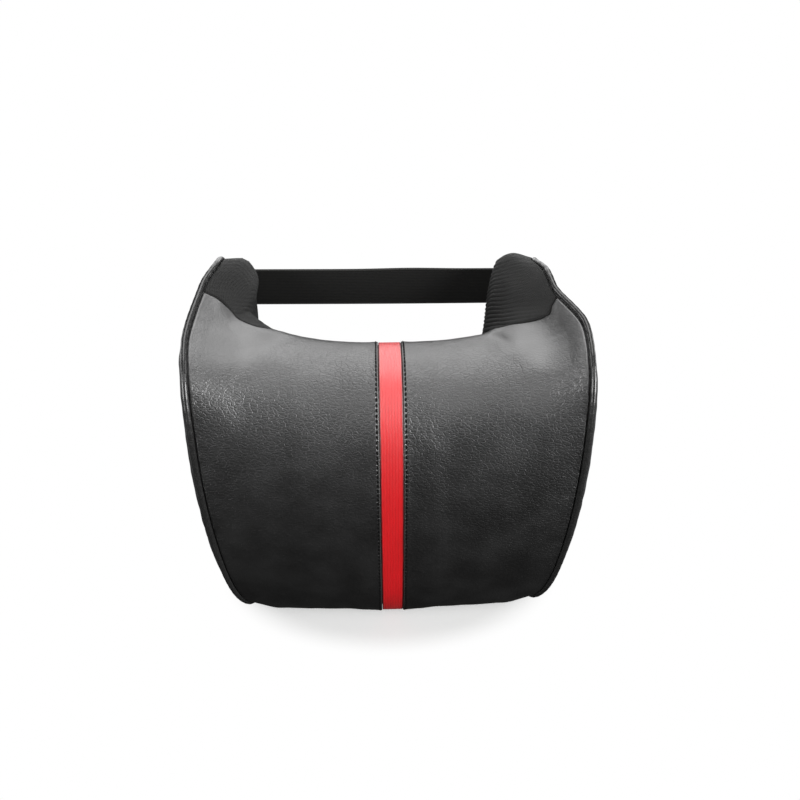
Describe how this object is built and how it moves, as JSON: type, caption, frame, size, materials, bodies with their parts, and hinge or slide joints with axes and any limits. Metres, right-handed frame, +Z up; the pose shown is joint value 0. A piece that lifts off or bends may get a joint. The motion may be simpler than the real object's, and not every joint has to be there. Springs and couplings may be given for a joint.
{
  "type": "car neck pillow",
  "caption": "Soft neck pillow for a car seat, with a bulging black leather front, red centre stripe, piped sides, mesh back wings and an elastic headrest strap.",
  "frame": {"origin": "middle of the footprint, on the surface that the pillow stands on", "axes": "+X to the right seen from the front, +Y from the leather front towards the strap, +Z up"},
  "size_m": [0.277, 0.1599, 0.2658],
  "materials": {
    "black_leather": "satin, fine pebble grain",
    "red_stripe": "ribbed woven, matte",
    "gloss_piping": "gloss",
    "black_air_mesh": "ribbed air mesh, matte",
    "black_elastic": "woven elastic, matte",
    "memory_foam": "open-cell foam, matte"
  },
  "bodies": {
    "root": {"foam_core": "memory_foam", "front_panel_left": "black_leather", "front_panel_right": "black_leather", "centre_stripe": "red_stripe", "side_panel_left": "black_leather", "side_panel_right": "black_leather", "piping_left": "gloss_piping", "piping_right": "gloss_piping", "back_panel": "black_air_mesh", "elastic_strap": "black_elastic"}
  },
  "joints": []
}
